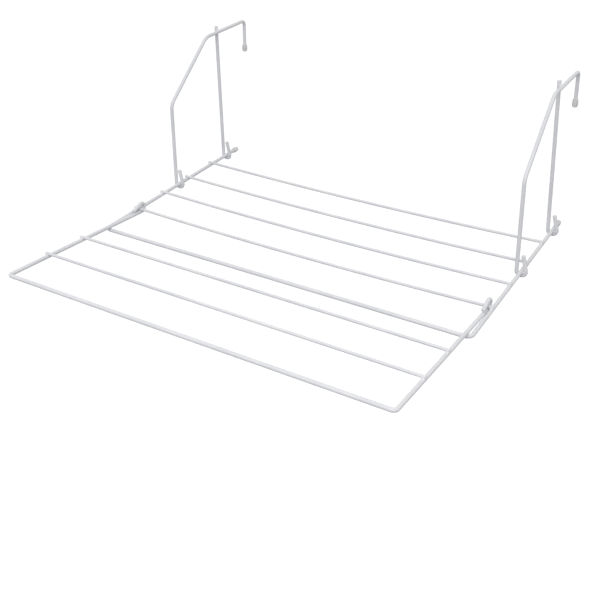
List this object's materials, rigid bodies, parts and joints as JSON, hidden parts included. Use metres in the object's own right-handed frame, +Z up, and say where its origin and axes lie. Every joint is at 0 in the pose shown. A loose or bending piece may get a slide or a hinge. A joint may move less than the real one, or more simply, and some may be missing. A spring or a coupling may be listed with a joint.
{
  "type": "wall mounted fold down drying rack",
  "caption": "White coated-wire drying rack that hangs over a door on folding hook brackets, with a rear frame of drying lines and a hinged front frame that folds up.",
  "frame": {"origin": "middle of the top front edge of the door that the rack hangs on, half way between the side rails: the door's face is the plane Y = 0 and its top, under the hooks' level runs, is the plane Z = 0", "axes": "+Z up, +Y into the door, +X to the right for someone who faces the door; the rack stands out from the door towards -Y"},
  "size_m": [0.5943, 0.5951, 0.2342],
  "materials": {
    "white_coat": "satin white plastic coat on steel wire",
    "cap_plastic": "pale grey moulded push-on cap"
  },
  "bodies": {
    "rear_frame": {"rear_frame": "white_coat", "rear_line_1": "white_coat", "rear_line_2": "white_coat", "rear_line_3": "white_coat", "hinge_wire": "white_coat", "rear_frame_welds": "white_coat", "left_rail_cap": "cap_plastic", "right_rail_cap": "cap_plastic"},
    "front_frame": {"front_frame": "white_coat", "front_line_1": "white_coat", "front_line_2": "white_coat", "front_frame_welds": "white_coat"},
    "left_bracket": {"left_hook_wire": "white_coat", "left_upright": "white_coat", "left_bracket_weld": "white_coat", "left_hook_cap": "cap_plastic"},
    "right_bracket": {"right_hook_wire": "white_coat", "right_upright": "white_coat", "right_bracket_weld": "white_coat", "right_hook_cap": "cap_plastic"}
  },
  "joints": [
    {"name": "left_bracket_fold", "type": "hinge", "parent": "rear_frame", "child": "left_bracket", "pos_m": [-0.2875, 0, -0.21475], "axis": [0, 1, 0], "range_deg": [0, 89]},
    {"name": "right_bracket_fold", "type": "hinge", "parent": "rear_frame", "child": "right_bracket", "pos_m": [0.2875, 0, -0.21475], "axis": [0, -1, 0], "range_deg": [0, 84]},
    {"name": "front_frame_fold", "type": "hinge", "parent": "rear_frame", "child": "front_frame", "pos_m": [0, -0.2765, -0.21054], "axis": [-1, 0, 0], "range_deg": [0, 124]}
  ]
}
